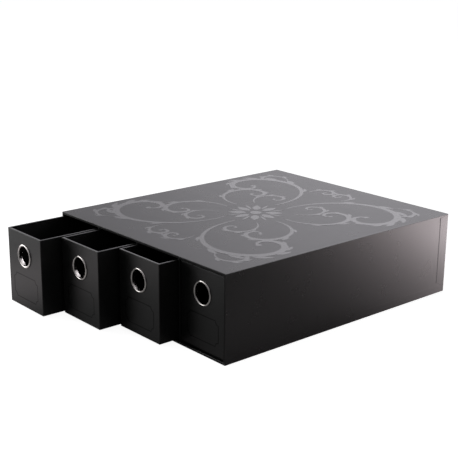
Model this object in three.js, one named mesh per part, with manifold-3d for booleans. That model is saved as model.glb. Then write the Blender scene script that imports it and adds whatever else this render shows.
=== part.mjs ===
// Card drawer box: a rigid black case, open at the front, with four full-length card trays side by side.
// Each tray is pulled by a metal finger eyelet in its front. Lengths are in millimetres, X runs across the
// front, Y towards the back and Z up, and the origin is the middle of the case's underside.
import * as THREE from "three";
import { mergeVertices } from "three/addons/utils/BufferGeometryUtils.js";
import Module from "manifold-3d";

const wasm = await Module();
wasm.setup();

// Case, outside sizes and boards
const caseWidth = 320;
const caseDepth = 377;
const caseHeight = 105;
const caseBoard = 3;
const linerBoard = 1.7;
const linerSetback = 4;
const dividerBoard = 2.5;
const dividerSetback = 1;

// Drawers: their boards, and their running gaps in the bays
const drawerBoard = 2.5;
const sideGap = 0.5;
const floorGap = 0.3;
const headroom = 2;
const closedRecess = 2.5;
const stopGap = 0.5;

// How far each drawer stands out of the case as photographed, from the left; the last one is shut
const firstPull = 80.1;
const secondPull = 52.5;
const thirdPull = 25.5;
const pulls = [firstPull, secondPull, thirdPull, -closedRecess];

// Wrapped edges: the rounding that the paper gives a board's edge, and the glue lines between boards
const wrapRound = 0.4;
const cornerRound = 0.8;
const glueLine = 0.1;
const mitreSeam = 0.02;

// Finger eyelet: a rolled ring riveted through the front board against a washer
const eyeletDiameter = 28.5;
const eyeletHole = 24.5;
const eyeletCrown = 1.3;
const eyeletSheet = 0.5;
const eyeletDrop = 28.5;
const eyeletSeat = 0.1;
const rivetCurl = 1.6;
const rivetLip = 0.6;
const boreGap = 0.3;
const washerDiameter = 31.5;
const washerDish = 0.5;

// How finely round forms are cut
const arcSteps = 2;
const ringSteps = 36;
const crownSteps = 6;
const curlSteps = 3;
const overrun = 1;

// Sizes that follow from the ones above
const drawerCount = pulls.length;
const innerWidth = caseWidth - 2 * caseBoard;
const bayWidth = (innerWidth - (drawerCount - 1) * dividerBoard) / drawerCount;
const bayPitch = bayWidth + dividerBoard;
const floorTop = caseBoard + linerBoard;
const ceiling = caseHeight - caseBoard;
const caseFront = -caseDepth / 2;
const backFace = caseDepth / 2 - caseBoard;
const drawerWidth = bayWidth - 2 * sideGap;
const drawerHeight = ceiling - floorTop - floorGap - headroom;
const drawerDepth = caseDepth - caseBoard - stopGap - closedRecess;

const across = new THREE.Vector3(1, 0, 0);
const inward = new THREE.Vector3(0, 1, 0);
const upward = new THREE.Vector3(0, 0, 1);

// Materials, as the photograph shows them
const caseWrap = new THREE.MeshStandardMaterial({ color: 0x232324, roughness: 0.55, metalness: 0 });
const drawerWrap = new THREE.MeshStandardMaterial({ color: 0x1a1a1b, roughness: 0.6, metalness: 0 });
const innerPaper = new THREE.MeshStandardMaterial({ color: 0x101011, roughness: 0.8, metalness: 0 });
const plated = new THREE.MeshStandardMaterial({ color: 0xd4d5d8, roughness: 0.15, metalness: 1 });

// A three.js geometry as a solid that can be cut, and back again
function solidOf(geometry) {
  const bare = geometry.clone();
  bare.deleteAttribute("normal");
  bare.deleteAttribute("uv");
  const merged = mergeVertices(bare);
  const vertProperties = merged.getAttribute("position").array;
  const triVerts = new Uint32Array(merged.index.array);
  return new wasm.Manifold(new wasm.Mesh({ numProp: 3, vertProperties, triVerts }));
}

function geometryOf(solid) {
  const mesh = solid.getMesh();
  const geometry = new THREE.BufferGeometry();
  geometry.setAttribute("position", new THREE.BufferAttribute(mesh.vertProperties, 3));
  geometry.setIndex(new THREE.BufferAttribute(mesh.triVerts, 1));
  geometry.computeVertexNormals();
  return geometry;
}

// An outline drawn in the plane of two axes and extruded equally to both sides of that plane
function prism(outline, length, rightAxis, upAxis) {
  const geometry = new THREE.ExtrudeGeometry(outline, {
    depth: length,
    bevelEnabled: false,
    curveSegments: arcSteps,
  });
  geometry.translate(0, 0, -length / 2);
  const alongAxis = new THREE.Vector3().crossVectors(rightAxis, upAxis);
  return geometry.applyMatrix4(new THREE.Matrix4().makeBasis(rightAxis, upAxis, alongAxis));
}

// The section of a wrapped board: a rectangle from the inner face at 0 to the outer face, with soft corners
function softSection(length, thickness, radius) {
  const half = length / 2;
  const outline = new THREE.Shape();
  outline.moveTo(radius - half, 0);
  outline.lineTo(half - radius, 0);
  outline.absarc(half - radius, radius, radius, -Math.PI / 2, 0);
  outline.lineTo(half, thickness - radius);
  outline.absarc(half - radius, thickness - radius, radius, 0, Math.PI / 2);
  outline.lineTo(radius - half, thickness);
  outline.absarc(radius - half, thickness - radius, radius, Math.PI / 2, Math.PI);
  outline.lineTo(-half, radius);
  outline.absarc(radius - half, radius, radius, Math.PI, 1.5 * Math.PI);
  return outline;
}

// The section of a board that is mitred at both ends, whose outer corners are rounded by the wrap
function mitredSection(span, thickness, radius) {
  const half = (span - mitreSeam) / 2;
  const outline = new THREE.Shape();
  outline.moveTo(thickness - half, 0);
  outline.lineTo(half - thickness, 0);
  outline.absarc(half - radius, thickness - radius, radius, Math.PI / 4, Math.PI / 2);
  outline.lineTo(radius - half, thickness);
  outline.absarc(radius - half, thickness - radius, radius, Math.PI / 2, 0.75 * Math.PI);
  return outline;
}

// A wrapped board with mitred ends across and soft edges along, its inner face down at 0
function mitredBoard(span, reach, thickness) {
  const ends = prism(mitredSection(span, thickness, cornerRound), reach + 2 * overrun, across, upward);
  const edges = prism(softSection(reach, thickness, wrapRound), span + 2 * overrun, inward, upward);
  return solidOf(ends).intersect(solidOf(edges));
}

// A plain board with soft edges along, centred, its lower face at 0
function plainBoard(width, reach, thickness) {
  return prism(softSection(reach, thickness, thickness / 4), width, inward, upward);
}

function named(name, geometry, material) {
  const mesh = new THREE.Mesh(geometry, material);
  mesh.name = name;
  return mesh;
}

// Turns a board, so that it lies along the two given axes and its outer face looks outwards
function turned(mesh, spanAxis, reachAxis) {
  const outwardAxis = new THREE.Vector3().crossVectors(spanAxis, reachAxis);
  mesh.quaternion.setFromRotationMatrix(new THREE.Matrix4().makeBasis(spanAxis, reachAxis, outwardAxis));
  return mesh;
}

const flipped = (axis) => axis.clone().negate();

// Case shell: four boards mitred along their long edges, open at the front
function caseShell() {
  const wide = geometryOf(mitredBoard(caseWidth, caseDepth, caseBoard));
  const tall = geometryOf(mitredBoard(caseHeight, caseDepth, caseBoard));
  const top = turned(named("case_top", wide, caseWrap), across, inward);
  top.position.set(0, 0, ceiling);
  const bottom = turned(named("case_bottom", wide, caseWrap), flipped(across), inward);
  bottom.position.set(0, 0, caseBoard);
  const left = turned(named("case_left_side", tall, caseWrap), upward, inward);
  left.position.set(-innerWidth / 2, 0, caseHeight / 2);
  const right = turned(named("case_right_side", tall, caseWrap), flipped(upward), inward);
  right.position.set(innerWidth / 2, 0, caseHeight / 2);
  return [top, bottom, left, right];
}

// Case back: a board let in between the four sides, flush with their rear edges
function caseBack() {
  const width = innerWidth - 2 * glueLine;
  const height = ceiling - caseBoard - 2 * glueLine;
  const back = turned(named("case_back", plainBoard(width, height, caseBoard), caseWrap), flipped(across), upward);
  back.position.set(0, backFace, caseHeight / 2);
  return back;
}

// Floor liner: the thin sheet that the drawers slide on, set back from the front edge
function floorLiner() {
  const width = innerWidth - 2 * glueLine;
  const reach = caseDepth - linerSetback - caseBoard - glueLine;
  const liner = named("floor_liner", plainBoard(width, reach, linerBoard - glueLine), innerPaper);
  liner.position.set(0, caseFront + linerSetback + reach / 2, caseBoard + glueLine);
  return liner;
}

// Dividers: upright boards between the bays, from the liner to the top
function divider(index) {
  const height = ceiling - floorTop - 2 * glueLine;
  const reach = caseDepth - dividerSetback - caseBoard - glueLine;
  const board = turned(
    named("divider_" + index, plainBoard(height, reach, dividerBoard), innerPaper),
    flipped(upward),
    inward,
  );
  const edge = index * bayPitch - dividerBoard - innerWidth / 2;
  board.position.set(edge, caseFront + dividerSetback + reach / 2, (floorTop + ceiling) / 2);
  return board;
}

// The closed section of a sheet that follows a middle line of points from one end to the other
function sheetSection(middle, sheet) {
  const left = [];
  const right = [];
  middle.forEach((point, index) => {
    const before = middle[Math.max(index - 1, 0)];
    const after = middle[Math.min(index + 1, middle.length - 1)];
    const direction = after.clone().sub(before).normalize();
    const normal = new THREE.Vector2(-direction.y, direction.x).multiplyScalar(sheet / 2);
    left.push(point.clone().add(normal));
    right.push(point.clone().sub(normal));
  });
  return [...right, ...left.reverse(), right[0].clone()];
}

// Points of an elliptical arc about a centre, from one angle to another
function arcPoints(centre, radiusAcross, radiusAlong, from, to, steps) {
  return Array.from({ length: steps + 1 }, (_, index) => {
    const angle = from + ((to - from) * index) / steps;
    return new THREE.Vector2(
      centre.x + radiusAcross * Math.cos(angle),
      centre.y + radiusAlong * Math.sin(angle),
    );
  });
}

// Eyelet: rim, rolled crown, barrel through the board, and the rivet curl that holds the washer.
// Its section is drawn as radius and depth, with the board's outer face at depth 0.
function eyelet(name) {
  const rim = eyeletDiameter / 2 - eyeletSheet / 2;
  const barrel = eyeletHole / 2 + eyeletSheet / 2;
  const crownCentre = new THREE.Vector2((rim + barrel) / 2, -eyeletSeat - eyeletSheet / 2);
  const crownAlong = eyeletCrown - eyeletSheet;
  const crown = arcPoints(crownCentre, (rim - barrel) / 2, -crownAlong, Math.PI, 0, crownSteps);
  const washerBack = drawerBoard + eyeletSeat + washerDish + eyeletSheet;
  const curlCentre = new THREE.Vector2(barrel + rivetCurl, washerBack + eyeletSeat + eyeletSheet / 2 - rivetCurl);
  const curl = arcPoints(curlCentre, rivetCurl, rivetCurl, Math.PI / 2, Math.PI, curlSteps);
  const lip = new THREE.Vector2(curl[0].x + rivetLip, curl[0].y);
  const section = sheetSection([lip, ...curl, ...crown], eyeletSheet);
  return named(name, new THREE.LatheGeometry(section, ringSteps), plated);
}

// Washer: a dished ring on the inner face of the board, held by the lip of the eyelet's rivet curl
function eyeletWasher(name) {
  const inner = eyeletHole / 2 + eyeletSheet / 2 + rivetCurl;
  const outer = washerDiameter / 2;
  const seat = drawerBoard + eyeletSeat;
  const middle = [
    new THREE.Vector2(inner, seat + washerDish + eyeletSheet / 2),
    new THREE.Vector2((inner + outer) / 2, seat + washerDish + eyeletSheet / 2),
    new THREE.Vector2(outer - washerDish, seat + eyeletSheet),
    new THREE.Vector2(outer, seat + eyeletSheet / 2),
  ];
  return named(name, new THREE.LatheGeometry(sheetSection(middle, eyeletSheet), ringSteps), plated);
}

// Front board of a drawer, with the bore for the eyelet's barrel
function frontBoard() {
  const radius = eyeletHole / 2 + eyeletSheet + boreGap;
  const bore = new THREE.CylinderGeometry(radius, radius, drawerBoard + 2 * overrun, ringSteps);
  bore.rotateX(Math.PI / 2);
  bore.translate(0, drawerHeight / 2 - eyeletDrop, drawerBoard / 2);
  return geometryOf(mitredBoard(drawerWidth, drawerHeight, drawerBoard).subtract(solidOf(bore)));
}

// One drawer in its own frame: its front face at 0 along Y and its underside at 0 along Z
function drawer(index) {
  const label = "drawer_" + index;
  const group = new THREE.Group();
  const middle = drawerHeight / 2;
  const inside = drawerWidth / 2 - drawerBoard;
  const front = turned(named(label + "_front", frontBoard(), drawerWrap), across, upward);
  front.position.set(0, drawerBoard, middle);
  const rear = geometryOf(mitredBoard(drawerWidth, drawerHeight, drawerBoard));
  const back = turned(named(label + "_back", rear, drawerWrap), flipped(across), upward);
  back.position.set(0, drawerDepth - drawerBoard, middle);
  const side = geometryOf(mitredBoard(drawerDepth, drawerHeight, drawerBoard));
  const left = turned(named(label + "_left_side", side, drawerWrap), flipped(inward), upward);
  left.position.set(-inside, drawerDepth / 2, middle);
  const right = turned(named(label + "_right_side", side, drawerWrap), inward, upward);
  right.position.set(inside, drawerDepth / 2, middle);
  const floorWidth = 2 * (inside - glueLine);
  const floorReach = drawerDepth - 2 * (drawerBoard + glueLine);
  const floor = named(label + "_floor", plainBoard(floorWidth, floorReach, drawerBoard), innerPaper);
  floor.position.set(0, drawerDepth / 2, 0);
  const ring = eyelet(label + "_eyelet");
  const washer = eyeletWasher(label + "_eyelet_washer");
  ring.position.set(0, 0, drawerHeight - eyeletDrop);
  washer.position.copy(ring.position);
  group.add(front, back, left, right, floor, ring, washer);
  return group;
}

// The drawers, each in its bay and pulled out as far as the photograph shows
function drawers() {
  return pulls.map((pull, index) => {
    const group = drawer(index + 1);
    const centre = index * bayPitch + bayWidth / 2 - innerWidth / 2;
    group.position.set(centre, caseFront - pull, floorTop + floorGap);
    return group;
  });
}

const box = new THREE.Group();
box.add(...caseShell(), caseBack(), floorLiner());
for (let index = 1; index < drawerCount; index += 1) box.add(divider(index));
box.add(...drawers());

export default box;
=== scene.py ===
"""Card drawer box: a case wrapped in black paper, with four card trays pulled by metal eyelets.

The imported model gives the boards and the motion. This script adds the camera, the light, the finishes
and the fine pieces: rolled eyelets, a varnished ornament, printed label frames, and the flaps, seams,
edges and linings of the wrapping paper.
"""
import math

import bmesh
import bpy
from mathutils import Matrix, Vector


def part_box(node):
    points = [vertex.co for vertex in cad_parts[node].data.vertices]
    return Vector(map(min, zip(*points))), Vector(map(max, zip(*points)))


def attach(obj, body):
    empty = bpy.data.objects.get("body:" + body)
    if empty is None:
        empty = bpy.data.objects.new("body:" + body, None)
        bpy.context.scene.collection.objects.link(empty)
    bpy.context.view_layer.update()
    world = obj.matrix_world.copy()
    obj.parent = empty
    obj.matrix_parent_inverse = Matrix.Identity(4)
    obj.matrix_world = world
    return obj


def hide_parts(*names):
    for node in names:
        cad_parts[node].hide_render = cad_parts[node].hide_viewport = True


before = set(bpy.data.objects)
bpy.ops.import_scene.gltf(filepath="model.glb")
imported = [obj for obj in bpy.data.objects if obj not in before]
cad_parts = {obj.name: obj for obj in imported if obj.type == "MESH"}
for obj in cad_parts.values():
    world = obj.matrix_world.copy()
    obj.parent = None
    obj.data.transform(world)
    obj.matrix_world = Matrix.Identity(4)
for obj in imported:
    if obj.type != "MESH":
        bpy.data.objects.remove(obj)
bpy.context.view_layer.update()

MM = 0.001

# The photograph's camera: focal length in pixels of its square frame, and where it stood
PHOTO_SIDE = 458
FOCAL_PIXELS = 1030.03
SENSOR = 36.0
CAMERA_PLACE = Vector((0.9355, -0.8599, 0.4565))
CAMERA_AZIMUTH = math.radians(48.9465)
CAMERA_ELEVATION = math.radians(16.3956)
CAMERA_ROLL = math.radians(0.5273)
CLIP_NEAR = 10 * MM
CLIP_FAR = 50

# The case and its drawers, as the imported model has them
CASE_LOW = Vector((*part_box("case_left_side")[0].xy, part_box("case_bottom")[0].z))
CASE_HIGH = Vector((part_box("case_right_side")[1].x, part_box("case_back")[1].y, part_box("case_top")[1].z))
CASE_TOP = CASE_HIGH.z
CASE_FRONT = CASE_LOW.y
CASE_BACK = CASE_HIGH.y
MOUTH_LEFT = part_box("case_left_side")[1].x
MOUTH_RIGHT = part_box("case_right_side")[0].x
MOUTH_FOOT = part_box("case_bottom")[1].z
MOUTH_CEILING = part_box("case_top")[0].z
DRAWERS = (1, 2, 3, 4)


def make_camera():
    """The photograph's camera, in its place and rolled a little about its axis."""
    data = bpy.data.cameras.new("photo_camera")
    data.sensor_width = SENSOR
    data.lens = FOCAL_PIXELS * SENSOR / PHOTO_SIDE
    data.clip_start = CLIP_NEAR
    data.clip_end = CLIP_FAR
    level = math.cos(CAMERA_ELEVATION)
    back = Vector((
        math.sin(CAMERA_AZIMUTH) * level,
        -math.cos(CAMERA_AZIMUTH) * level,
        math.sin(CAMERA_ELEVATION),
    ))
    right = Vector((math.cos(CAMERA_AZIMUTH), math.sin(CAMERA_AZIMUTH), 0))
    up = back.cross(right)
    rolled_right = math.cos(CAMERA_ROLL) * right + math.sin(CAMERA_ROLL) * up
    rolled_up = math.cos(CAMERA_ROLL) * up - math.sin(CAMERA_ROLL) * right
    turn = Matrix((rolled_right, rolled_up, back)).transposed().to_4x4()
    camera = bpy.data.objects.new("photo_camera", data)
    camera.matrix_world = Matrix.Translation(CAMERA_PLACE) @ turn
    bpy.context.scene.collection.objects.link(camera)
    bpy.context.scene.camera = camera


# Shader nodes

def new_material(name):
    """A material with its node tree and its Principled shader."""
    material = bpy.data.materials.new(name)
    material.use_nodes = True
    return material, material.node_tree, material.node_tree.nodes["Principled BSDF"]


def linked(tree, kind, inputs=None, **settings):
    """A node of that kind, with its settings, values and links given by socket name or number."""
    node = tree.nodes.new(kind)
    for key, value in settings.items():
        setattr(node, key, value)
    for key, value in (inputs or {}).items():
        if isinstance(value, bpy.types.NodeSocket):
            tree.links.new(value, node.inputs[key])
        else:
            node.inputs[key].default_value = value
    return node


def maths(tree, operation, *values):
    """The result of a sum on links and numbers."""
    return linked(tree, "ShaderNodeMath", dict(enumerate(values)), operation=operation).outputs[0]


def grey(level):
    return (level, level, level, 1)


# Floor and room

FLOOR_HALF = 8.0
FLOOR_ALBEDO = 0.8
FLOOR_LIFT = 0.93
ROOM_LEVEL = 0.096

# The white surroundings that gloss shows, which are two parts of the backdrop, the ceiling and a light
# high behind the box: the level of each, and the headings that it rises towards, with the two shares of
# each heading between which it rises
SURROUNDINGS = (
    (0.48, ((0, 1, 0), 0.0, 0.55), ((-1, 0, 0), -0.75, -0.35)),
    (0.58, ((0, 1, 0), 0.5, 0.72)),
    (0.45, ((0, 0, 1), 0.42, 0.75)),
    (3.4, ((0, 1, 0), 0.62, 0.72), ((0.39, 0, 0.92), 0.2, 0.5)),
)

# Bright patches of the floor as gloss shows them: the middle, inner and outer radius and level of each
FLOOR_PATCHES = (
    ((0.26, -0.1), 0, 0.25, 0.15),
    ((-0.23, -0.35), 0, 0.16, 0.66),
)

# The glow on the floor beside the box: it grows along its heading and fades out round its middle
GLOW_HEADING = (-0.489, 0.872, 0)
GLOW_REACH = 0.087
GLOW_LEVEL = 0.745
GLOW_MOST = 9.0
GLOW_PATCH = ((0.33, 0.3), 0.2, 0.45, 1)
WARM_WHITE = (1, 0.89, 0.915)
BACKDROP_TINT = (1, 0.975, 1.03)


def heading_share(tree, heading, start, end):
    """How far a direction has risen towards a heading, from nothing at the start to one at the end."""
    towards = linked(tree, "ShaderNodeVectorMath", {
        0: linked(tree, "ShaderNodeTexCoord").outputs["Generated"],
        1: heading,
    }, operation="DOT_PRODUCT")
    return linked(tree, "ShaderNodeMapRange", {
        "Value": towards.outputs["Value"],
        "From Min": start,
        "From Max": end,
    }, interpolation_type="SMOOTHSTEP").outputs[0]


def patch_level(tree, place, centre, inner, outer, level):
    """How bright a round patch of the floor is: its level in the inner radius, nothing past the outer."""
    apart = linked(tree, "ShaderNodeVectorMath", {0: place, 1: (*centre, 0)}, operation="DISTANCE")
    return linked(tree, "ShaderNodeMapRange", {
        "Value": apart.outputs["Value"],
        "From Min": inner,
        "From Max": outer,
        "To Min": level,
        "To Max": 0,
    }, interpolation_type="SMOOTHSTEP").outputs[0]


def glow_level(tree, place):
    """How bright the floor beside the box is."""
    along = linked(tree, "ShaderNodeVectorMath", {0: place, 1: GLOW_HEADING}, operation="DOT_PRODUCT")
    growth = maths(tree, "EXPONENT", maths(tree, "DIVIDE", along.outputs["Value"], GLOW_REACH))
    level = maths(tree, "MINIMUM", maths(tree, "MULTIPLY", growth, GLOW_LEVEL), GLOW_MOST)
    return maths(tree, "MULTIPLY", level, patch_level(tree, place, *GLOW_PATCH))


def floor_material():
    """Pale matte. The camera sees it lifted to white where no shadow falls, and gloss sees it glow."""
    material = bpy.data.materials.new("floor")
    material.use_nodes = True
    tree = material.node_tree
    tree.nodes.clear()
    path = linked(tree, "ShaderNodeLightPath")
    lift = maths(tree, "MULTIPLY", path.outputs["Is Camera Ray"], FLOOR_LIFT)
    matte = linked(tree, "ShaderNodeBsdfDiffuse", {"Color": grey(FLOOR_ALBEDO)})
    glow = linked(tree, "ShaderNodeEmission", {"Strength": lift})
    lifted = linked(tree, "ShaderNodeAddShader", {0: matte.outputs[0], 1: glow.outputs[0]})
    place = linked(tree, "ShaderNodeTexCoord").outputs["Object"]
    level = glow_level(tree, place)
    for patch in FLOOR_PATCHES:
        level = maths(tree, "ADD", level, patch_level(tree, place, *patch))
    gloss = maths(tree, "MULTIPLY", level, path.outputs["Is Glossy Ray"])
    shine = linked(tree, "ShaderNodeEmission", {"Color": (*WARM_WHITE, 1), "Strength": gloss})
    both = linked(tree, "ShaderNodeAddShader", {0: lifted.outputs[0], 1: shine.outputs[0]})
    linked(tree, "ShaderNodeOutputMaterial", {"Surface": both.outputs[0]})
    material.cycles.emission_sampling = "NONE"
    return material


def make_floor():
    mesh = bpy.data.meshes.new("floor")
    corners = rectangle((-FLOOR_HALF, -FLOOR_HALF), (FLOOR_HALF, FLOOR_HALF))
    mesh.from_pydata([(x, y, 0) for x, y in corners], [], [range(len(corners))])
    mesh.materials.append(floor_material())
    floor = bpy.data.objects.new("floor", mesh)
    bpy.context.scene.collection.objects.link(floor)


def make_world():
    """A dim soft room. Gloss shows its white surroundings. The camera sees white."""
    world = bpy.data.worlds.new("room")
    bpy.context.scene.world = world
    world.use_nodes = True
    tree = world.node_tree
    tree.nodes.clear()
    path = linked(tree, "ShaderNodeLightPath")
    around = 0
    for level, *rises in SURROUNDINGS:
        for rise in rises:
            level = maths(tree, "MULTIPLY", level, heading_share(tree, *rise))
        around = maths(tree, "ADD", around, level)
    gloss = maths(tree, "MULTIPLY", around, path.outputs["Is Glossy Ray"])
    seen = maths(tree, "MAXIMUM", path.outputs["Is Camera Ray"], path.outputs["Is Transmission Ray"])
    strength = maths(tree, "MAXIMUM", maths(tree, "ADD", gloss, ROOM_LEVEL), seen)
    colour = linked(tree, "ShaderNodeMix", {
        "Factor": path.outputs["Is Glossy Ray"],
        "A": grey(1),
        "B": (*BACKDROP_TINT, 1),
    }, data_type="RGBA")
    light = linked(tree, "ShaderNodeBackground", {
        "Color": colour.outputs["Result"],
        "Strength": strength,
    })
    linked(tree, "ShaderNodeOutputWorld", {"Surface": light.outputs[0]})
    world.cycles.sampling_method = "NONE"


CASE_FOOT = (0, 0, 0)
FIRST_DRAWER = (-0.12, -0.27, 0.06)

# Lamps: the name, the place, the point it faces, its width and height, and its power
SOFTBOXES = (
    ("overhead_softbox", (-0.1, 0.1, 1.5), CASE_FOOT, (1.2, 1.2), 1.3),
    ("left_softbox", (-1.3, -0.95, 0.35), FIRST_DRAWER, (1.7, 0.66), 7.8),
    ("left_near_softbox", (-0.75, -0.62, 0.22), FIRST_DRAWER, (0.7, 0.42), 2.0),
)


def make_softbox(name, place, target, size, power):
    """A soft oblong lamp, which the camera itself doesn't see."""
    data = bpy.data.lights.new(name, "AREA")
    data.shape = "RECTANGLE"
    data.size, data.size_y = size
    data.energy = power
    lamp = bpy.data.objects.new(name, data)
    lamp.location = place
    lamp.rotation_euler = (Vector(target) - Vector(place)).to_track_quat("-Z", "Y").to_euler()
    lamp.visible_camera = False
    bpy.context.scene.collection.objects.link(lamp)


# Finishes

BLACK = 0.0045
DEEP_BLACK = 0.003
INK_BLACK = 0.002
MOTTLE = {"Scale": 38, "Detail": 3, "Roughness": 0.55}
MOTTLE_SHARES = (0.88, 1.14)
SHEEN_SWING = 0.025
FIBRE = {"Scale": 1500, "Detail": 4, "Roughness": 0.6}
FIBRE_HEIGHT = 0.03 * MM
UNDER_VARNISH = {"roughness": 0.3, "specular": 0.5, "grain": 0.1}
VARNISH_IOR = 1.55
HANDLING_MARKS = {"Scale": 700, "Detail": 3}
STEEL_ROUGHNESS = (0.16, 0.26)
STEEL_COLOUR = (0.6, 0.575, 0.555, 1)


def paper(name, tone, roughness, specular, grain):
    """Black wrapping paper: fine fibres, soft mottling and a faint unevenness of its sheen."""
    material, tree, shader = new_material(name)
    place = linked(tree, "ShaderNodeTexCoord").outputs["Object"]
    mottle = linked(tree, "ShaderNodeTexNoise", {"Vector": place, **MOTTLE})
    fibre = linked(tree, "ShaderNodeTexNoise", {"Vector": place, **FIBRE})
    dark, light = (grey(tone * share) for share in MOTTLE_SHARES)
    colour = linked(tree, "ShaderNodeMix", {
        "Factor": mottle.outputs["Fac"],
        "A": dark,
        "B": light,
    }, data_type="RGBA")
    sheen = linked(tree, "ShaderNodeMapRange", {
        "Value": mottle.outputs["Fac"],
        "To Min": roughness - SHEEN_SWING,
        "To Max": roughness + SHEEN_SWING,
    })
    relief = linked(tree, "ShaderNodeBump", {
        "Height": fibre.outputs["Fac"],
        "Strength": grain,
        "Distance": FIBRE_HEIGHT,
    })
    tree.links.new(colour.outputs["Result"], shader.inputs["Base Color"])
    tree.links.new(sheen.outputs["Result"], shader.inputs["Roughness"])
    tree.links.new(relief.outputs["Normal"], shader.inputs["Normal"])
    shader.inputs["Specular IOR Level"].default_value = specular
    return material


def varnish(name, tone, roughness, weight):
    """A clear gloss over black paper, whose own sheen shows through it."""
    material = paper(name, tone, **UNDER_VARNISH)
    shader = material.node_tree.nodes["Principled BSDF"]
    shader.inputs["Coat Weight"].default_value = weight
    shader.inputs["Coat Roughness"].default_value = roughness
    shader.inputs["Coat IOR"].default_value = VARNISH_IOR
    return material


def plated_steel(name):
    """Bright nickel plate with the faint marks of rolling and handling."""
    material, tree, shader = new_material(name)
    place = linked(tree, "ShaderNodeTexCoord").outputs["Object"]
    marks = linked(tree, "ShaderNodeTexNoise", {"Vector": place, **HANDLING_MARKS})
    smooth, rough = STEEL_ROUGHNESS
    gloss = linked(tree, "ShaderNodeMapRange", {
        "Value": marks.outputs["Fac"],
        "To Min": smooth,
        "To Max": rough,
    })
    tree.links.new(gloss.outputs["Result"], shader.inputs["Roughness"])
    shader.inputs["Base Color"].default_value = STEEL_COLOUR
    shader.inputs["Metallic"].default_value = 1
    return material


CASE_PAPER = paper("case_paper", BLACK, roughness=0.28, specular=0.5, grain=0.12)
DRAWER_PAPER = paper("drawer_paper", BLACK, roughness=0.36, specular=0.42, grain=0.12)
INNER_PAPER = paper("inner_paper", DEEP_BLACK, roughness=0.6, specular=0.2, grain=0.3)
# Painted shade: a darker, duller paper for the front edges of the case's mouth, where shade falls
EDGE_SHADE_PAPER = paper("edge_shade_paper", DEEP_BLACK, roughness=0.45, specular=0.16, grain=0.12)
RIM_PAPER = varnish("burnished_rim", BLACK, roughness=0.2, weight=0.7)
VARNISH = varnish("spot_varnish", BLACK, roughness=0.12, weight=0.6)
LABEL_INK = paper("label_ink", INK_BLACK, roughness=0.36, specular=0.18, grain=0.1)
STEEL = plated_steel("nickel_plate")


def dress(node, material):
    """Gives a packed board one finish all over."""
    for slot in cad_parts[node].material_slots:
        slot.material = material


def dress_boards():
    for name in ("case_top", "case_bottom", "case_left_side", "case_right_side", "case_back"):
        dress(name, CASE_PAPER)
    for name in ("floor_liner", "divider_1", "divider_2", "divider_3"):
        dress(name, INNER_PAPER)
    for number in DRAWERS:
        for part in ("front", "back", "left_side", "right_side"):
            dress(f"drawer_{number}_{part}", DRAWER_PAPER)
        dress(f"drawer_{number}_floor", INNER_PAPER)


# Mesh helpers

EASE_STEPS = 6
HOLE_STEPS = 48
LEAST_SLOPE = 1e-6


def finished(name, mesh, material, body, smooth=False):
    """Turns a bmesh into an object that rides on a body."""
    bmesh.ops.recalc_face_normals(mesh, faces=mesh.faces)
    data = bpy.data.meshes.new(name)
    mesh.to_mesh(data)
    mesh.free()
    for face in data.polygons:
        face.use_smooth = smooth
    data.materials.append(material)
    piece = bpy.data.objects.new(name, data)
    bpy.context.scene.collection.objects.link(piece)
    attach(piece, body)
    return piece


# A sheet is drawn flat. Its place turns a flat point, and a height above the sheet's foot, into a point
# of the model. The face is where the foot lies, and away is 1 or -1, the way that it looks on its axis.

def on_side(face, away):
    """The place of a sheet that faces along X, drawn in depth and height."""
    return lambda depth, level, height: (face + away * height, depth, level)


def on_end(face, away):
    """The place of a sheet that faces along Y, drawn in width and height."""
    return lambda across, level, height: (across, face + away * height, level)


def on_level(face, away):
    """The place of a level sheet, drawn in width and depth."""
    return lambda across, depth, height: (across, depth, face + away * height)


def rectangle(low, high):
    return [(low[0], low[1]), (high[0], low[1]), (high[0], high[1]), (low[0], high[1])]


def joined(mesh, near, far):
    """Faces between two rings of as many points."""
    for index in range(len(near)):
        after = (index + 1) % len(near)
        mesh.faces.new((near[index], near[after], far[after], far[index]))


def inset(corners, distances):
    """The corners of a convex anticlockwise outline, with each side moved in by its own distance."""
    moved = []
    for index, corner in enumerate(corners):
        before = (corner - corners[index - 1]).normalized()
        after = (corners[(index + 1) % len(corners)] - corner).normalized()
        turn = before.x * after.y - before.y * after.x
        moved.append(corner + (distances[index - 1] * after - distances[index] * before) / turn)
    return moved


def eased_sheet(mesh, corners, place, lift, eases):
    """A closed sheet on a flat outline. Each of its sides rises from the face over its own width."""
    corners = [Vector(corner) for corner in corners]
    rings = []
    for step in range(EASE_STEPS + 1):
        share = step / EASE_STEPS
        outline = inset(corners, [share * ease for ease in eases])
        height = lift * share * share * (3 - 2 * share)
        rings.append([mesh.verts.new(place(point.x, point.y, height)) for point in outline])
    for near, far in zip(rings, rings[1:]):
        joined(mesh, near, far)
    mesh.faces.new(rings[0])
    mesh.faces.new(rings[-1])


def ring_sheet(mesh, outer, inner, place, lift):
    """A closed flat ring between two outlines that have as many corners."""
    loops = [
        [mesh.verts.new(place(*corner, height)) for corner in outline]
        for outline, height in ((outer, 0), (outer, lift), (inner, lift), (inner, 0))
    ]
    for index, near in enumerate(loops):
        joined(mesh, near, loops[(index + 1) % len(loops)])


def edge_reach(low, high, centre, along):
    """How far a rectangle's edge lies from a point in it, in one direction."""
    return min(
        ((high[axis] if along[axis] > 0 else low[axis]) - centre[axis]) / along[axis]
        for axis in (0, 1) if abs(along[axis]) > LEAST_SLOPE
    )


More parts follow.
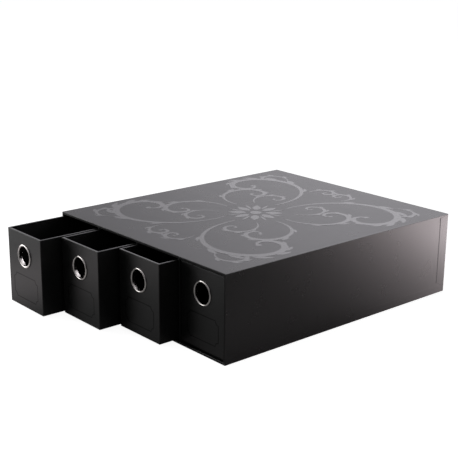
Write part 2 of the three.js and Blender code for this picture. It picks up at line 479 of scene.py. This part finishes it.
def holed_sheet(mesh, low, high, centre, radius, place, lift):
    """A closed rectangular sheet with a round hole through it."""
    corners = [math.atan2(v - centre[1], u - centre[0]) for u, v in rectangle(low, high)]
    turns = sorted(corners + [2 * math.pi * step / HOLE_STEPS - math.pi for step in range(HOLE_STEPS)])
    edge, hole = [], []
    for turn in turns:
        along = (math.cos(turn), math.sin(turn))
        for outline, reach in ((edge, edge_reach(low, high, centre, along)), (hole, radius)):
            outline.append((centre[0] + reach * along[0], centre[1] + reach * along[1]))
    ring_sheet(mesh, edge, hole, place, lift)


# Eyelets: a thin sheet rolled to a crown in front, a barrel through the board and a rivet curl behind

EYELET_SHEET = 0.5 * MM
EYELET_SEAT = 0.1 * MM
RIVET_LIP = 0.6 * MM
CROWN_STEPS = 20
CURL_STEPS = 8
RING_STEPS = 112


def radii(node, centre):
    """The least and greatest distance of a node's points from the axis along Y through the centre."""
    spans = [
        math.hypot(point.co.x - centre.x, point.co.z - centre.z)
        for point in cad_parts[node].data.vertices
    ]
    return min(spans), max(spans)


def arc(centre, across, along, start, end, steps):
    """Points of an elliptical arc in radius and depth."""
    points = []
    for index in range(steps + 1):
        angle = start + (end - start) * index / steps
        points.append((centre[0] + across * math.cos(angle), centre[1] + along * math.sin(angle)))
    return points


def sheet_section(middle, sheet):
    """The closed section of a sheet whose middle line runs through those points."""
    left, right = [], []
    last = len(middle) - 1
    for index, (radius, depth) in enumerate(middle):
        before = Vector(middle[max(index - 1, 0)])
        after = Vector(middle[min(index + 1, last)])
        along = (after - before).normalized()
        aside = Vector((-along.y, along.x)) * sheet / 2
        left.append((radius + aside.x, depth + aside.y))
        right.append((radius - aside.x, depth - aside.y))
    return right + left[::-1]


def revolved(section, centre):
    """A bmesh of a closed section turned about an axis along Y through the centre."""
    mesh = bmesh.new()
    rings = []
    for index in range(RING_STEPS):
        angle = 2 * math.pi * index / RING_STEPS
        side, up = math.cos(angle), math.sin(angle)
        rings.append([
            mesh.verts.new((centre.x + radius * side, centre.y + depth, centre.z + radius * up))
            for radius, depth in section
        ])
    for index, ring in enumerate(rings):
        joined(mesh, ring, rings[(index + 1) % RING_STEPS])
    return mesh


def make_ring(label, part, middle, centre, node):
    """A ring of sheet steel in place of a packed one."""
    mesh = revolved(sheet_section(middle, EYELET_SHEET), centre)
    ring = finished(f"{label}_{part}", mesh, STEEL, label, smooth=True)
    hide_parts(f"{label}_{node}")


def make_eyelet(number):
    """The rolled ring and its washer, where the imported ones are."""
    label = f"drawer_{number}"
    low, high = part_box(f"{label}_eyelet")
    washer_low, washer_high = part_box(f"{label}_eyelet_washer")
    front, inside = (corner.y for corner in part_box(f"{label}_front"))
    centre = Vector(((low.x + high.x) / 2, front, (low.z + high.z) / 2))
    hole, outside = radii(f"{label}_eyelet", centre)
    inner, outer = radii(f"{label}_eyelet_washer", centre)

    rim = outside - EYELET_SHEET / 2
    barrel = hole + EYELET_SHEET / 2
    crown_centre = ((rim + barrel) / 2, -EYELET_SEAT - EYELET_SHEET / 2)
    crown_height = front - low.y - EYELET_SEAT - EYELET_SHEET
    crown = arc(crown_centre, (rim - barrel) / 2, -crown_height, math.pi, 0, CROWN_STEPS)
    curl_radius = inner - barrel
    curl_centre = (inner, high.y - front - EYELET_SHEET / 2 - curl_radius)
    curl = arc(curl_centre, curl_radius, curl_radius, math.pi / 2, math.pi, CURL_STEPS)
    lip = (curl[0][0] + RIVET_LIP, curl[0][1])
    make_ring(label, "rolled_eyelet", [lip, *curl, *crown], centre, "eyelet")

    depth = inside - front + EYELET_SEAT
    dish = washer_high.y - washer_low.y - EYELET_SHEET
    dish_centre = ((inner + outer) / 2, depth + EYELET_SHEET / 2)
    dish_arc = arc(dish_centre, (outer - inner) / 2, dish, math.pi / 2, 0, CURL_STEPS)
    flat = (inner, depth + dish + EYELET_SHEET / 2)
    make_ring(label, "dished_washer", [flat, *dish_arc], centre, "eyelet_washer")


# Ornament: thin varnished strokes on the case's top, in millimetres from its middle

VARNISH_FILM = 0.05 * MM
FILM_STEP = 0.005 * MM
FILM_LEVELS = 11
SCROLL_STEPS = 64
DISC_STEPS = 28
LEAF_STEPS = 14
PETAL_STEPS = 16
LEAF_SPREAD = 38
LEAF_BEND = 55
LEAF_LEAN = 0.75
LEAF_FULLNESS = 0.9
TIP_WIDTH = 0.05
BULB_SHARE = 0.42

# A stroke's section has two lower corners, 0 and 1, and two upper ones, 2 and 3. These are its sides.
STROKE_SIDES = ((0, 1), (1, 3), (3, 2), (2, 0))

# The scrolls of one quarter: start, heading in degrees, first and last radius, turn in degrees, full and
# thin width, the peak's share of the length, the leaves' side, and each leaf's share, length and width
SCROLLS = (
    ((11, 44), 94, 112, 7, -452, 9, 1.8, 0.35, 1, (
        (0.11, 20, 6), (0.18, 26, 7.5), (0.25, 30, 8.5), (0.32, 29, 8.5), (0.39, 25, 7.5),
        (0.46, 20, 6.5), (0.54, 15, 5),
    )),
    ((45, 8), -6, 64, 4.2, 440, 6.5, 1.5, 0.3, -1, (
        (0.1, 15, 5), (0.18, 19, 6), (0.26, 20, 6), (0.35, 16, 5), (0.45, 12, 4),
    )),
    ((35, 31), 22, 38, 3.4, 410, 4.6, 1.2, 0.35, -1, (
        (0.12, 11, 3.8), (0.24, 13, 4.2), (0.36, 11, 3.8),
    )),
    ((30, 126), 66, 25, 3, 430, 5, 1.3, 0.35, -1, (
        (0.1, 13, 4.4), (0.22, 14, 4.6), (0.34, 11, 4),
    )),
    ((98, 151), 48, 30, 3, -430, 5, 1.2, 0.35, 1, (
        (0.08, 13, 4.4), (0.2, 15, 4.8), (0.32, 12, 4.2),
    )),
)

# The rosette's petals and the darts between them: the turn as a share of the petals' spacing, the start
# from the middle, the length, the width and the lean
ROSETTE_PETALS = 8
ROSETTE_BOSS = 7.5
ROSETTE_RAYS = (
    (0, 12, 24, 11, 0.8),
    (0.5, 17, 22, 3.4, 1),
)


def on_top(x, y, height):
    """A point of the case's top, in millimetres from its middle."""
    return Vector((x * MM, y * MM, CASE_TOP + height))


def stroke(mesh, points, widths, lift):
    """A thin closed strip along flat points, as wide as the widths say."""
    last = len(points) - 1
    rows = []
    for index, (x, y) in enumerate(points):
        before, after = points[max(index - 1, 0)], points[min(index + 1, last)]
        along = Vector((after[0] - before[0], after[1] - before[1])).normalized()
        half = widths[index] / 2
        sides = ((x - along.y * half, y + along.x * half), (x + along.y * half, y - along.x * half))
        rows.append([mesh.verts.new(on_top(*side, height)) for height in (0, lift) for side in sides])
    for near, far in zip(rows, rows[1:]):
        for one, two in STROKE_SIDES:
            mesh.faces.new((near[one], near[two], far[two], far[one]))
    for row in (rows[0], rows[-1]):
        mesh.faces.new((row[0], row[1], row[3], row[2]))


def disc(mesh, centre, radius, lift):
    """A thin closed disc."""
    turns = [2 * math.pi * index / DISC_STEPS for index in range(DISC_STEPS)]
    edge = [(centre[0] + radius * math.cos(turn), centre[1] + radius * math.sin(turn)) for turn in turns]
    lower, upper = (
        [mesh.verts.new(on_top(*point, height)) for point in edge]
        for height in (0, lift)
    )
    joined(mesh, lower, upper)
    mesh.faces.new(lower)
    mesh.faces.new(upper)


def curl_points(start, heading, first, last, turn, steps):
    """A curl, its heading and turn in degrees, whose radius goes from first to last."""
    x, y = start
    points = [(x, y)]
    step = math.radians(turn) / steps
    angle = math.radians(heading)
    for index in range(steps):
        radius = first * (last / first) ** ((index + 0.5) / steps)
        x += radius * abs(step) * math.cos(angle + step / 2)
        y += radius * abs(step) * math.sin(angle + step / 2)
        angle += step
        points.append((x, y))
    return points


def swelling(count, full, thin, peak):
    """Widths that swell from thin to full at the peak's share of the length, and shrink again."""
    widths = []
    for index in range(count):
        share = index / (count - 1)
        rise = share / peak if share < peak else (1 - share) / (1 - peak)
        widths.append(thin + (full - thin) * math.sin(math.pi / 2 * rise))
    return widths


def bulging(steps, width, lean, fullness):
    """Widths that bulge between two tips. The smaller the lean, the nearer the first tip the bulge is."""
    return [
        TIP_WIDTH + width * max(0.0, math.sin(math.pi * (step / steps) ** lean)) ** fullness
        for step in range(steps + 1)
    ]


def leaf(start, heading, length, width, bend):
    """A bent leaf: its points and widths."""
    radius = length / math.radians(abs(bend))
    points = curl_points(start, heading, radius, radius, bend, LEAF_STEPS)
    return points, bulging(LEAF_STEPS, width, LEAF_LEAN, LEAF_FULLNESS)


class Films:
    """Gives each stroke a height a little off its neighbours', so that no two faces coincide."""

    def __init__(self):
        self.count = 0

    def next(self):
        self.count += 1
        return VARNISH_FILM + FILM_STEP * (self.count % FILM_LEVELS)


def draw_scroll(mesh, films, row, flip):
    """One scroll with its leaves and the bulb at its end, mirrored as flip says."""
    start, heading, first, last, turn, full, thin, peak, side, leaves = row
    points = curl_points(start, heading, first, last, turn, SCROLL_STEPS)
    strokes = [(points, swelling(len(points), full, thin, peak))]
    for share, length, width in leaves:
        index = round(share * (len(points) - 1))
        near, far = points[index - 1], points[index + 1]
        along = math.degrees(math.atan2(far[1] - near[1], far[0] - near[0]))
        strokes.append(leaf(points[index], along + side * LEAF_SPREAD, length, width, -side * LEAF_BEND))
    for line, widths in strokes:
        stroke(mesh, [flip(*point) for point in line], widths, films.next())
    disc(mesh, flip(*points[-1]), full * BULB_SHARE, films.next())


def draw_rosette(mesh, films):
    """Petals and darts round a boss in the middle of the top."""
    spacing = 2 * math.pi / ROSETTE_PETALS
    for index in range(ROSETTE_PETALS):
        for turn_share, inner, length, width, lean in ROSETTE_RAYS:
            angle = spacing * index + spacing * turn_share
            reaches = [inner + length * step / PETAL_STEPS for step in range(PETAL_STEPS + 1)]
            points = [(reach * math.cos(angle), reach * math.sin(angle)) for reach in reaches]
            stroke(mesh, points, bulging(PETAL_STEPS, width, lean, 1), films.next())
    disc(mesh, (0, 0), ROSETTE_BOSS, films.next())


def make_ornament():
    """The top's scroll ornament, drawn once and mirrored to the other three quarters."""
    mesh = bmesh.new()
    films = Films()
    for right in (1, -1):
        for back in (1, -1):
            for row in SCROLLS:
                draw_scroll(mesh, films, row, lambda x, y: (right * x, back * y))
    draw_rosette(mesh, films)
    finished("top_scroll_ornament", mesh, VARNISH, "case")


# Label frames: a ticket outline with hollow corners on each drawer's front, in millimetres

LABEL_WIDTH = 54
LABEL_HEIGHT = 30
LABEL_CORNER = 5
LABEL_LINE = 1.2
LABEL_BOTTOM = 11
CORNER_STEPS = 8
INK_FILM = 0.05 * MM


def ticket(width, height, corner):
    """The outline of a ticket about its middle, its corners hollowed by quarter circles."""
    points = []
    quarter_turn = math.pi / 2
    for quarter, (right, up) in enumerate(((1, 1), (-1, 1), (-1, -1), (1, -1))):
        middle = (right * width / 2, up * height / 2)
        start = quarter_turn * (quarter + 3)
        for step in range(CORNER_STEPS + 1):
            turn = start - quarter_turn * step / CORNER_STEPS
            points.append((middle[0] + corner * math.cos(turn), middle[1] + corner * math.sin(turn)))
    return points


def make_label_frame(number):
    """The printed line round the place of a drawer's label."""
    label = f"drawer_{number}"
    low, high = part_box(f"{label}_front")
    centre = (low.x + high.x) / 2
    middle = low.z + (LABEL_BOTTOM + LABEL_HEIGHT / 2) * MM

    def on_front(x, z, height):
        return centre + x * MM, low.y - height, middle + z * MM

    outline = ticket(LABEL_WIDTH, LABEL_HEIGHT, LABEL_CORNER)
    outer, inner = [], []
    for index, (x, z) in enumerate(outline):
        before, after = outline[index - 1], outline[(index + 1) % len(outline)]
        along = Vector((after[0] - before[0], after[1] - before[1])).normalized()
        aside = Vector((-along.y, along.x)) * LABEL_LINE / 2
        for side, sign in ((inner, 1), (outer, -1)):
            side.append((x + sign * aside.x, z + sign * aside.y))
    mesh = bmesh.new()
    ring_sheet(mesh, outer, inner, on_front, INK_FILM)
    finished(f"{label}_label_frame", mesh, LABEL_INK, label)


# Paper: flaps, turn-ins and linings, whose sides ease down to the board

PAPER_SHEET = 0.08 * MM
FOLDED_SHEETS = 0.25 * MM
SEAM_LINE = 0.3 * MM
SEAM_FILM = 0.02 * MM
EDGE_STRIP = 0.03 * MM
CUT_EASE = 0.25 * MM
SEAM_EASE = 1.2 * MM
UNSEEN_EASE = 15 * MM
EDGE_ROUND = 0.4 * MM
CORNER_ROUND = 0.8 * MM
WRAP_END = 10 * MM
REAR_FLAP = 16 * MM
REAR_FLAP_LOW = 14 * MM
REAR_FLAP_HIGH = 3.5 * MM
FLAP_MITRE = 8 * MM
TURN_IN = 18 * MM
LINING_DROP = 3 * MM
DRAWER_SEAM = 12 * MM

WRAP_FRONT = CASE_FRONT + EDGE_ROUND
WRAP_BACK = CASE_BACK - EDGE_ROUND
ALL_CUT = [CUT_EASE] * 4


def make_wrap_end():
    """The end of the case's wrap, whose cut edge runs along the foot of the right side."""
    mesh = bmesh.new()
    wrap = rectangle((WRAP_FRONT, WRAP_END), (WRAP_BACK, CASE_TOP - CORNER_ROUND))
    eases = [SEAM_EASE, CUT_EASE, UNSEEN_EASE, UNSEEN_EASE]
    eased_sheet(mesh, wrap, on_side(CASE_HIGH.x, 1), PAPER_SHEET, eases)
    finished("right_side_wrap_end", mesh, CASE_PAPER, "case")


def make_rear_flap(name, face, away):
    """The back sheet's flap on one side, mitred at its foot, and the dark seam along its front edge."""
    seam = WRAP_BACK - REAR_FLAP
    flap = [
        (seam, REAR_FLAP_LOW),
        (WRAP_BACK, REAR_FLAP_LOW - FLAP_MITRE),
        (WRAP_BACK, CASE_TOP - CORNER_ROUND),
        (seam, CASE_TOP - REAR_FLAP_HIGH),
    ]
    mesh = bmesh.new()
    eases = [SEAM_EASE, CUT_EASE, CUT_EASE, SEAM_EASE]
    eased_sheet(mesh, flap, on_side(face, away), FOLDED_SHEETS, eases)
    finished(f"{name}_rear_flap", mesh, CASE_PAPER, "case")
    mesh = bmesh.new()
    line = rectangle((seam - SEAM_LINE, REAR_FLAP_LOW), (seam, CASE_TOP - REAR_FLAP_HIGH))
    foot = face + away * PAPER_SHEET
    eased_sheet(mesh, line, on_side(foot, away), SEAM_FILM, [SEAM_FILM] * 4)
    finished(f"{name}_rear_seam", mesh, INNER_PAPER, "case")


def make_back_cover():
    """The sheet that covers the back, short of its folded edges."""
    mesh = bmesh.new()
    cover = rectangle(
        (CASE_LOW.x + EDGE_ROUND, EDGE_ROUND),
        (CASE_HIGH.x - EDGE_ROUND, CASE_TOP - EDGE_ROUND),
    )
    eased_sheet(mesh, cover, on_end(CASE_BACK, 1), PAPER_SHEET, ALL_CUT)
    finished("back_cover_sheet", mesh, CASE_PAPER, "case")


def make_mouth_turn_ins():
    """The wrap turned in over the front edges of the top and the sides."""
    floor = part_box("floor_liner")[1].z
    mesh = bmesh.new()
    over = rectangle((MOUTH_LEFT, WRAP_FRONT), (MOUTH_RIGHT, WRAP_FRONT + TURN_IN))
    eased_sheet(mesh, over, on_level(MOUTH_CEILING, -1), PAPER_SHEET, ALL_CUT)
    beside = rectangle((WRAP_FRONT, floor), (WRAP_FRONT + TURN_IN, MOUTH_CEILING))
    for face, away in ((MOUTH_LEFT, 1), (MOUTH_RIGHT, -1)):
        eased_sheet(mesh, beside, on_side(face, away), PAPER_SHEET, ALL_CUT)
    finished("mouth_turn_ins", mesh, CASE_PAPER, "case")


def make_mouth_edge_shade():
    """Strips of darker, duller paper on the front edges of the sides and the top: painted shade along the
    edges of the case's mouth.
    """
    under = MOUTH_CEILING + EDGE_ROUND
    left, right = CASE_LOW.x + CORNER_ROUND, CASE_HIGH.x - CORNER_ROUND
    mesh = bmesh.new()
    for low, high in (
        ((left, MOUTH_FOOT), (MOUTH_LEFT - EDGE_ROUND, under)),
        ((MOUTH_RIGHT + EDGE_ROUND, MOUTH_FOOT), (right, under)),
        ((left, under), (right, CASE_TOP - EDGE_ROUND)),
    ):
        eased_sheet(mesh, rectangle(low, high), on_end(CASE_FRONT, -1), EDGE_STRIP, [EDGE_STRIP] * 4)
    finished("mouth_edge_shade_strips", mesh, EDGE_SHADE_PAPER, "case")


def make_case_paper():
    make_wrap_end()
    make_rear_flap("right", CASE_HIGH.x, 1)
    make_rear_flap("left", CASE_LOW.x, -1)
    make_back_cover()
    make_mouth_turn_ins()
    make_mouth_edge_shade()


def tray_inside(label):
    """The left, right, front and back inner faces of a drawer's walls."""
    return (
        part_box(f"{label}_left_side")[1].x,
        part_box(f"{label}_right_side")[0].x,
        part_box(f"{label}_front")[1].y,
        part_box(f"{label}_back")[0].y,
    )


def make_drawer_lining(number):
    """The paper inside the drawer, which stops short of its rim."""
    label = f"drawer_{number}"
    left, right, front, back = tray_inside(label)
    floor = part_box(f"{label}_floor")[1].z
    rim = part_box(f"{label}_front")[1].z - LINING_DROP
    washer_low, washer_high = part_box(f"{label}_eyelet_washer")
    bore = ((washer_low.x + washer_high.x) / 2, (washer_low.z + washer_high.z) / 2)
    hole = radii(f"{label}_eyelet_washer", Vector((bore[0], 0, bore[1])))[0]
    across = rectangle((left, floor), (right, rim))
    beside = rectangle((front, floor), (back, rim))
    below = rectangle((left, front), (right, back))
    mesh = bmesh.new()
    holed_sheet(mesh, (left, floor), (right, rim), bore, hole, on_end(front, 1), PAPER_SHEET)
    eased_sheet(mesh, across, on_end(back, -1), PAPER_SHEET, ALL_CUT)
    for face, away in ((left, 1), (right, -1)):
        eased_sheet(mesh, beside, on_side(face, away), PAPER_SHEET, ALL_CUT)
    eased_sheet(mesh, below, on_level(floor, 1), PAPER_SHEET, ALL_CUT)
    finished(f"{label}_lining", mesh, INNER_PAPER, label)


def make_drawer_overlap(number):
    """The end of the drawer's wrap, glued over its start on the back."""
    label = f"drawer_{number}"
    low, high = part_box(f"{label}_back")
    mesh = bmesh.new()
    overlap = rectangle(
        (low.x + CORNER_ROUND, low.z + EDGE_ROUND),
        (low.x + DRAWER_SEAM, high.z - EDGE_ROUND),
    )
    eases = [CUT_EASE, SEAM_EASE, CUT_EASE, CUT_EASE]
    eased_sheet(mesh, overlap, on_end(high.y, 1), FOLDED_SHEETS, eases)
    finished(f"{label}_wrap_overlap", mesh, DRAWER_PAPER, label)


def make_drawer_rim(number):
    """The paper pulled tight over the drawer's rim, which is smoother there."""
    label = f"drawer_{number}"
    low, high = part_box(f"{label}_front")[0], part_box(f"{label}_back")[1]
    left, right, front, back = tray_inside(label)
    outer = rectangle(
        (low.x + CORNER_ROUND, low.y + EDGE_ROUND),
        (high.x - CORNER_ROUND, high.y - EDGE_ROUND),
    )
    inner = rectangle((left - EDGE_ROUND, front - EDGE_ROUND), (right + EDGE_ROUND, back + EDGE_ROUND))
    mesh = bmesh.new()
    ring_sheet(mesh, outer, inner, on_level(high.z, 1), EDGE_STRIP)
    finished(f"{label}_rim_strip", mesh, RIM_PAPER, label)


make_camera()
make_floor()
make_world()
for softbox in SOFTBOXES:
    make_softbox(*softbox)
dress_boards()
for number in DRAWERS:
    make_eyelet(number)
    make_label_frame(number)
    make_drawer_lining(number)
    make_drawer_overlap(number)
    make_drawer_rim(number)
make_ornament()
make_case_paper()

bpy.context.scene.view_settings.view_transform = "Standard"
